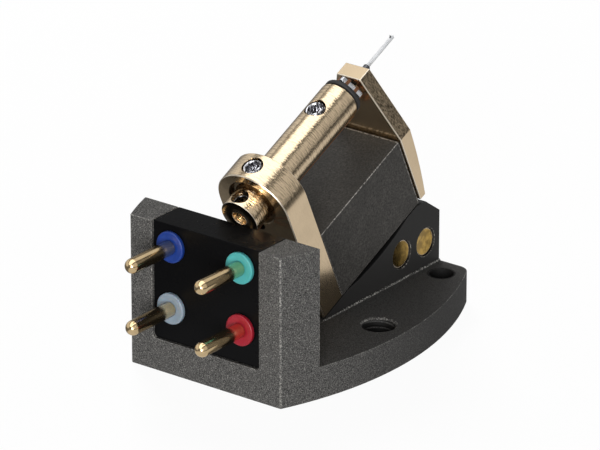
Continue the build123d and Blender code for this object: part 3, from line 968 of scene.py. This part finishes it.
class CARTRIDGE_OT_yokes(Operator):
    """Rear yoke with its round head, and front yoke with its sloping shoulders"""

    bl_idname = "cartridge.yokes"
    bl_label = "Yokes"

    def execute(self, context):
        sizes, finishes = settings(context)
        groove = (span("pole_piece", on_pole())[1].x + sizes.stub_groove) / MM
        # Groove and lead hole of the rear yoke, darkened as painted shade
        shaded_hollows = ((groove + 0.08, 0), (sizes.lead_hole / MM, sizes.lead_level / MM))
        rear = turned_gilt(finishes.gilt, forward, shaded_hollows, name="rear_yoke_gilt")
        show("rear_yoke_gilt", self.rear_yoke(sizes), HOUSING, rear, "rear_yoke")
        bm = soften(merged_copy("front_yoke"), sizes.fine_edge * 1.5, corner=40)
        front = milled_gilt(finishes.gilt, SHOULDER_SLOPE, name="front_yoke_gilt")
        show("front_yoke_gilt", bm, HOUSING, front, "front_yoke", smooth=15)
        return {"FINISHED"}

    def rear_yoke(self, sizes):
        where = on_pole()
        low, high = span("rear_yoke", where)
        head = high.y - high.x
        bm = bmesh.new()
        corners = ((low.x, low.y), (high.x, low.y), (high.x, head))
        points = [bm.verts.new((x, y, low.z)) for x, y in corners]
        swing(bm, points[2:], (0, head, low.z), vertical, math.pi, 64)
        outline = bm.faces.new(bm.verts)
        made = bmesh.ops.extrude_face_region(bm, geom=[outline])["geom"]
        bmesh.ops.translate(bm, vec=(0, 0, high.z - low.z), verts=points_of(made))
        bmesh.ops.recalc_face_normals(bm, faces=bm.faces)
        bmesh.ops.transform(bm, matrix=where, verts=bm.verts)
        pole = span("pole_piece", where)[1].x + sizes.fine_edge
        groove = pole + sizes.stub_groove
        leads = where @ Matrix.Translation((0, -sizes.lead_level, 0))
        bores = [
            peg(where, pole, low.z - MM, high.z + MM, 96),
            peg(where, groove, low.z - MM, low.z + sizes.stub_groove_depth, 96),
        ]
        plain_bores = [
            peg(leads, sizes.lead_hole, low.z - MM, high.z + MM),
            screw_bore("yoke_set_screw", sizes.screw_gap, MM),
        ]
        return cut(soften(cut(bm, bores), sizes.gilt_edge, 1), plain_bores)


class CARTRIDGE_OT_magnet(Operator):
    """Magnet block with rounded edges, painted bright as highlights"""

    bl_idname = "cartridge.magnet"
    bl_label = "Magnet"

    def execute(self, context):
        sizes, finishes = settings(context)
        bm = soften(merged_copy("magnet"), sizes.magnet_edge, chamfer=sizes.magnet_edge * 1.2)
        show("magnet_block", bm, HOUSING, ground_magnet(finishes.magnet), "magnet")
        return {"FINISHED"}


class CARTRIDGE_OT_pole_piece(Operator):
    """Bored barrel with its stub, the gilt pipe in it, and the three set screws"""

    bl_idname = "cartridge.pole_piece"
    bl_label = "Pole piece"

    def execute(self, context):
        sizes, finishes = settings(context)
        where = on_pole()
        low, high = span("pole_piece", where)
        front = high.z - sizes.pole_round
        section = TurnedSection(sizes.pole_bore, low.z)
        section.line((high.x, low.z), (high.x, front))
        section.arc(high.x - sizes.pole_round, front, 90)
        section.line((sizes.pole_bore, high.z), (sizes.pole_bore, low.z))
        bores = [
            screw_bore("stub_set_screw", sizes.fine_edge, sizes.pole_bore),
            screw_bore("pole_set_screw", sizes.screw_gap, sizes.pole_bore),
        ]
        bm = cut(soften(section.turn(where, 96), sizes.gilt_edge / 2), bores)
        barrel = turned_gilt(finishes.gilt, forward, name="barrel_gilt")
        show("pole_piece_barrel", bm, HOUSING, barrel, "pole_piece")
        bm = soften(tube("suspension_pipe", where, sizes.pipe_bore), sizes.fine_edge * 2, 3)
        gilt = polished_gilt(finishes.pin, forward, name="pipe_gilt")
        show("suspension_tube", bm, HOUSING, gilt, "suspension_pipe")
        for node, glint_level in SCREW_GLINT.items():
            self.screw(node, sizes, socket_steel(finishes.steel, glint_level, name=f"{node}_finish"))
        return {"FINISHED"}

    def screw(self, node, sizes, steel):
        where, high = screw_seat(node)
        low = span(node, where)[0]
        chamfer = sizes.gilt_edge
        outer, floor, inner = (high.x * share for share in SCREW_RING)
        section = TurnedSection(0, low.z)
        section.line((high.x, low.z), (high.x, high.z - chamfer), (high.x - chamfer, high.z))
        section.line((outer, high.z), (floor, high.z - chamfer), (inner, high.z), (0, high.z))
        hexagon = peg(where, sizes.socket, high.z - sizes.socket, high.z + MM, 6)
        bm = soften(cut(section.turn(where), [hexagon]), sizes.fine_edge)
        bmesh.ops.dissolve_degenerate(bm, dist=FINE_WELD, edges=bm.edges)
        show(f"{node}_steel", bm, HOUSING, steel, node)


class CARTRIDGE_OT_suspension(Operator):
    """Rubber damper, suspension wire and coil leads"""

    bl_idname = "cartridge.suspension"
    bl_label = "Suspension"

    def execute(self, context):
        sizes, finishes = settings(context)
        where = on_pole()
        bore = span("suspension_wire", where)[1].x + sizes.fine_edge
        bm = soften(tube("damper", where, bore), sizes.gilt_edge, 4)
        show("rubber_damper", bm, SUSPENSION, damper_rubber(finishes.rubber), "damper")
        dress("suspension_wire", bright_steel(finishes.steel, 0.2, name="wire_steel"))
        copper = enamelled_wire(finishes.copper, name="lead_enamel")
        for channel in CHANNELS:
            dress(f"{channel}_lead", copper)
        return {"FINISHED"}


class CARTRIDGE_OT_coils(Operator):
    """Coil former on its corner, with the two windings turn by turn"""

    bl_idname = "cartridge.coils"
    bl_label = "Coils"

    def execute(self, context):
        sizes, finishes = settings(context)
        former = soften(merged_copy("coil_former"), sizes.fine_edge, corner=40)
        silver = bright_steel(finishes.former, 0.22, name="former_silver")
        show("coil_plate", former, ARM, silver, "coil_former")
        copper = enamelled_wire(finishes.copper, name="coil_copper")
        low, high = span("coil_former", on_pole())
        centre = on_pole() @ Vector((0, 0, (low.z + high.z) / 2))
        for name, lean in (("left_coil", -1), ("right_coil", 1)):
            run = (sideways * lean + upward).normalized()
            where = place(centre, run, forward, run.cross(forward))
            bm = self.winding(span(name, where)[1], sizes.wire, sizes.turns)
            bmesh.ops.transform(bm, matrix=where, verts=bm.verts)
            show(f"{name}_winding", bm, ARM, copper, name)
        return {"FINISHED"}

    def winding(self, half, wire, turns):
        """Turns side by side in two bundles, one each side of the ferrule."""
        bm = self.turn(half.x - wire / 2, half.y - wire / 2, wire)
        first = bm.verts[:] + bm.edges[:] + bm.faces[:]
        outer = half.z - wire / 2
        places = [side * (outer - count * wire) for side in (-1, 1) for count in range(turns)]
        for offset in places[1:]:
            made = bmesh.ops.duplicate(bm, geom=first)["geom"]
            bmesh.ops.translate(bm, vec=(0, 0, offset), verts=points_of(made))
        bmesh.ops.translate(bm, vec=(0, 0, places[0]), verts=points_of(first))
        return bm

    def turn(self, half_length, half_depth, wire):
        """A closed turn of wire: a small circle pushed along the former's sides and spun at its corners."""
        bm = bmesh.new()
        facing = Matrix.Translation((0, half_depth, 0)) @ Matrix.Rotation(math.pi / 2, 4, "Y")
        bmesh.ops.create_circle(bm, cap_ends=False, segments=10, radius=wire / 2, matrix=facing)
        end = bm.edges[:]
        length_run = half_length - wire
        depth_run = half_depth - wire
        moves = [
            ((length_run, 0, 0), (length_run, depth_run, 0)),
            ((0, -2 * depth_run, 0), (length_run, -depth_run, 0)),
            ((-2 * length_run, 0, 0), (-length_run, -depth_run, 0)),
            ((0, 2 * depth_run, 0), (-length_run, depth_run, 0)),
            ((length_run, 0, 0), None),
        ]
        for step, corner in moves:
            end = edges_of(bmesh.ops.extrude_edge_only(bm, edges=end)["geom"])
            bmesh.ops.translate(bm, vec=step, verts=list({v for edge in end for v in edge.verts}))
            if corner:
                end = edges_of(swing(bm, end, corner, -vertical, math.pi / 2, 4))
        bmesh.ops.remove_doubles(bm, verts=bm.verts, dist=WELD)
        bmesh.ops.recalc_face_normals(bm, faces=bm.faces)
        return bm


class CARTRIDGE_OT_cantilever(Operator):
    """Ferrule, clear cantilever and diamond"""

    bl_idname = "cartridge.cantilever"
    bl_label = "Cantilever"

    def execute(self, context):
        sizes, finishes = settings(context)
        where = on_pole()
        bm = soften(tube("ferrule", where, sizes.ferrule_bore, 48), sizes.fine_edge)
        grey = bright_steel(finishes.ferrule, 0.3, name="ferrule_grey")
        show("ferrule_tube", bm, ARM, grey, "ferrule")
        low, high = span("stylus_tip", where)
        stand = place(where @ Vector((0, 0, (low.z + high.z) / 2)), sideways, forward, upward)
        self.rod(where, stand, sizes, clear_rod(finishes.clear, 0.0, name="cantilever_clear"))
        self.tip(stand, sizes, clear_rod(dimmed(finishes.clear, 0.6), 0.8, name="diamond_clear"))
        return {"FINISHED"}

    def rod(self, where, stand, sizes, clear):
        low, high = span("cantilever", where)
        section = TurnedSection(0, low.z)
        section.line((high.x, low.z), (high.x, high.z), (0, high.z))
        tip = span("stylus_tip", stand)[1]
        hole = peg(stand, tip.x + sizes.fine_edge / 2, -MM, MM, 32)
        bm = soften(cut(section.turn(where, 48), [hole]), sizes.fine_edge, 3)
        show("cantilever_rod", bm, ARM, clear, "cantilever")

    def tip(self, stand, sizes, clear):
        low, high = span("stylus_tip", stand)
        shoulder = high.z - 2.5 * high.x
        point = high.x * 0.16
        section = TurnedSection(0, low.z)
        section.line((high.x, low.z), (high.x, shoulder), (point, high.z), (0, high.z))
        bm = soften(section.turn(stand, 32), sizes.fine_edge * 0.3)
        show("diamond_tip", bm, ARM, clear, "stylus_tip")


class CARTRIDGE_OT_stage(Operator):
    """Pale floor, striped light tent, soft lamps and the camera"""

    bl_idname = "cartridge.stage"
    bl_label = "Stage"

    def execute(self, context):
        stage = context.scene.cartridge_stage
        self.floor(stage)
        self.tent()
        self.world(context.scene, stage)
        key = self.lamp("key_softbox", KEY_SPOT, KEY_SIDE, stage.key)
        key.visible_glossy = True
        self.lamp("fill_softbox", FILL_SPOT, FILL_SIDE, stage.fill)
        self.camera(context.scene, stage)
        context.scene.view_settings.view_transform = "Standard"
        return {"FINISHED"}

    def seen(self, finish):
        """1 for what the eye, metal and glass see, 0 for light on matte surfaces; and 1 for metal alone."""
        camera, glossy, through = [
            finish.node("ShaderNodeLightPath", output=f"Is {ray} Ray")
            for ray in ("Camera", "Glossy", "Transmission")
        ]
        return camera.larger(glossy).larger(through), glossy

    def floor(self, stage):
        bm = bmesh.new()
        level = Matrix.Translation((0, 0, -FLOOR_DROP))
        bmesh.ops.create_grid(bm, x_segments=1, y_segments=1, size=FLOOR_REACH, matrix=level)
        floor = loose_object("floor", bm)
        material, finish = blank_material("pale_floor")
        seen, glossy = self.seen(finish)
        away = finish.vector("LENGTH", {0: finish.position()}, "Value")
        left = 1 - finish.step(finish.coordinate("X"), -0.01, -0.004)
        dusk = 0.4 + finish.step(away, 0.045, 0.08) * 0.5
        dusk = glossy * dusk.larger(left * 0.88)
        white = finish.mix(dusk, (1, 1, 1), (0, 0, 0))
        pale = finish.mix(seen, stage.floor, (1, 1, 1))
        matte = finish.node("ShaderNodeBsdfDiffuse", None, {"Color": pale})
        glow = finish.node("ShaderNodeEmission", None, {"Color": white, "Strength": 1.0})
        share = seen * (1 - hole_shade(finish, 0.3, 0.1)) * 0.95
        both = finish.node("ShaderNodeMixShader", None, {0: share, 1: matte, 2: glow})
        below = finish.node("ShaderNodeNewGeometry", output="Backfacing")
        clear = finish.node("ShaderNodeBsdfTransparent")
        upper = finish.node("ShaderNodeMixShader", None, {0: below, 1: both, 2: clear})
        finish.node("ShaderNodeOutputMaterial", None, {"Surface": upper})
        floor.data.materials.append(material)

    def tent(self):
        """Arch of bright and dim stripes that only polished surfaces show."""
        bm = bmesh.new()
        ends = [bm.verts.new((TENT_RADIUS, y, 0)) for y in (-TENT_REACH, TENT_REACH)]
        swing(bm, [*ends, bm.edges.new(ends)], origin, -lengthwise, math.pi, 48)
        tent = loose_object("light_tent", bm)
        material, finish = blank_material("tent_stripes")
        across = finish.coordinate("X")
        turn = across.math("ARCTAN2", finish.coordinate("Z"), across) * (1 / math.pi)
        shade = finish.node("ShaderNodeValToRGB", {"stops": TENT_STRIPES}, {0: turn})
        deep = finish.step(finish.coordinate("Y"), 0.09, 0.15)
        inputs = {"Color": shade * (1.8 - deep * 1.2), "Strength": 1.0}
        glow = finish.node("ShaderNodeEmission", None, inputs)
        finish.node("ShaderNodeOutputMaterial", None, {"Surface": glow})
        tent.data.materials.append(material)
        tent.visible_camera = False
        tent.visible_diffuse = False
        tent.visible_transmission = False
        tent.visible_shadow = False

    def world(self, scene, stage):
        world = bpy.data.worlds.new("white_room")
        world.use_nodes = True
        finish = Finish(world.node_tree)
        seen, glossy = self.seen(finish)
        way = finish.node("ShaderNodeTexCoord", output="Generated")
        rear = 1 - finish.step(finish.coordinate("Y", way), -0.85, -0.45)
        strength = stage.sky + seen * (1 - stage.sky) - glossy * rear * 0.8
        light = finish.node("ShaderNodeBackground", None, {"Color": (1, 1, 1, 1), "Strength": strength})
        finish.node("ShaderNodeOutputWorld", None, {"Surface": light})
        scene.world = world

    def lamp(self, name, spot, side, power):
        data = bpy.data.lights.new(name, "AREA")
        data.shape = "SQUARE"
        data.size = side
        data.energy = power
        lamp = bpy.data.objects.new(name, data)
        lamp.location = spot
        lamp.rotation_mode = "QUATERNION"
        lamp.rotation_quaternion = (-Vector(spot)).to_track_quat("-Z", "Y")
        lamp.visible_glossy = False
        lamp.visible_camera = False
        bpy.context.scene.collection.objects.link(lamp)
        return lamp

    def camera(self, scene, stage):
        data = bpy.data.cameras.new("camera")
        data.lens = stage.lens
        data.sensor_width = 36
        data.clip_start = 0.01
        data.clip_end = 10
        camera = bpy.data.objects.new("camera", data)
        level = math.cos(stage.elevation)
        right = math.sin(stage.azimuth) * level
        rear = -math.cos(stage.azimuth) * level
        back = Vector((right, rear, math.sin(stage.elevation)))
        camera.location = Vector(stage.target) + back * stage.distance
        camera.rotation_mode = "QUATERNION"
        camera.rotation_quaternion = (-back).to_track_quat("-Z", "Y")
        scene.collection.objects.link(camera)
        scene.camera = camera


STEPS = (
    CARTRIDGE_OT_stage,
    CARTRIDGE_OT_body,
    CARTRIDGE_OT_terminals,
    CARTRIDGE_OT_rods,
    CARTRIDGE_OT_yokes,
    CARTRIDGE_OT_magnet,
    CARTRIDGE_OT_pole_piece,
    CARTRIDGE_OT_suspension,
    CARTRIDGE_OT_coils,
    CARTRIDGE_OT_cantilever,
)


class CARTRIDGE_PT_sidebar(Panel):
    """Lists the steps that dress the cartridge"""

    bl_idname = "CARTRIDGE_PT_sidebar"
    bl_label = "Cartridge"
    bl_space_type = "VIEW_3D"
    bl_region_type = "UI"
    bl_category = "Cartridge"

    def draw(self, context):
        for step in STEPS:
            self.layout.operator(step.bl_idname)


GROUPS = {
    "cartridge_sizes": CartridgeSizes,
    "cartridge_finishes": CartridgeFinishes,
    "cartridge_stage": CartridgeStage,
}


def register():
    for kind in (*GROUPS.values(), *STEPS, CARTRIDGE_PT_sidebar):
        bpy.utils.register_class(kind)
    for name, group in GROUPS.items():
        setattr(bpy.types.Scene, name, PointerProperty(type=group))


def unregister():
    for name in GROUPS:
        delattr(bpy.types.Scene, name)
    for kind in (CARTRIDGE_PT_sidebar, *reversed(STEPS), *GROUPS.values()):
        bpy.utils.unregister_class(kind)


def main():
    register()
    for step in STEPS:
        group, name = step.bl_idname.split(".")
        getattr(getattr(bpy.ops, group), name)()


if __name__ == "__main__":
    main()
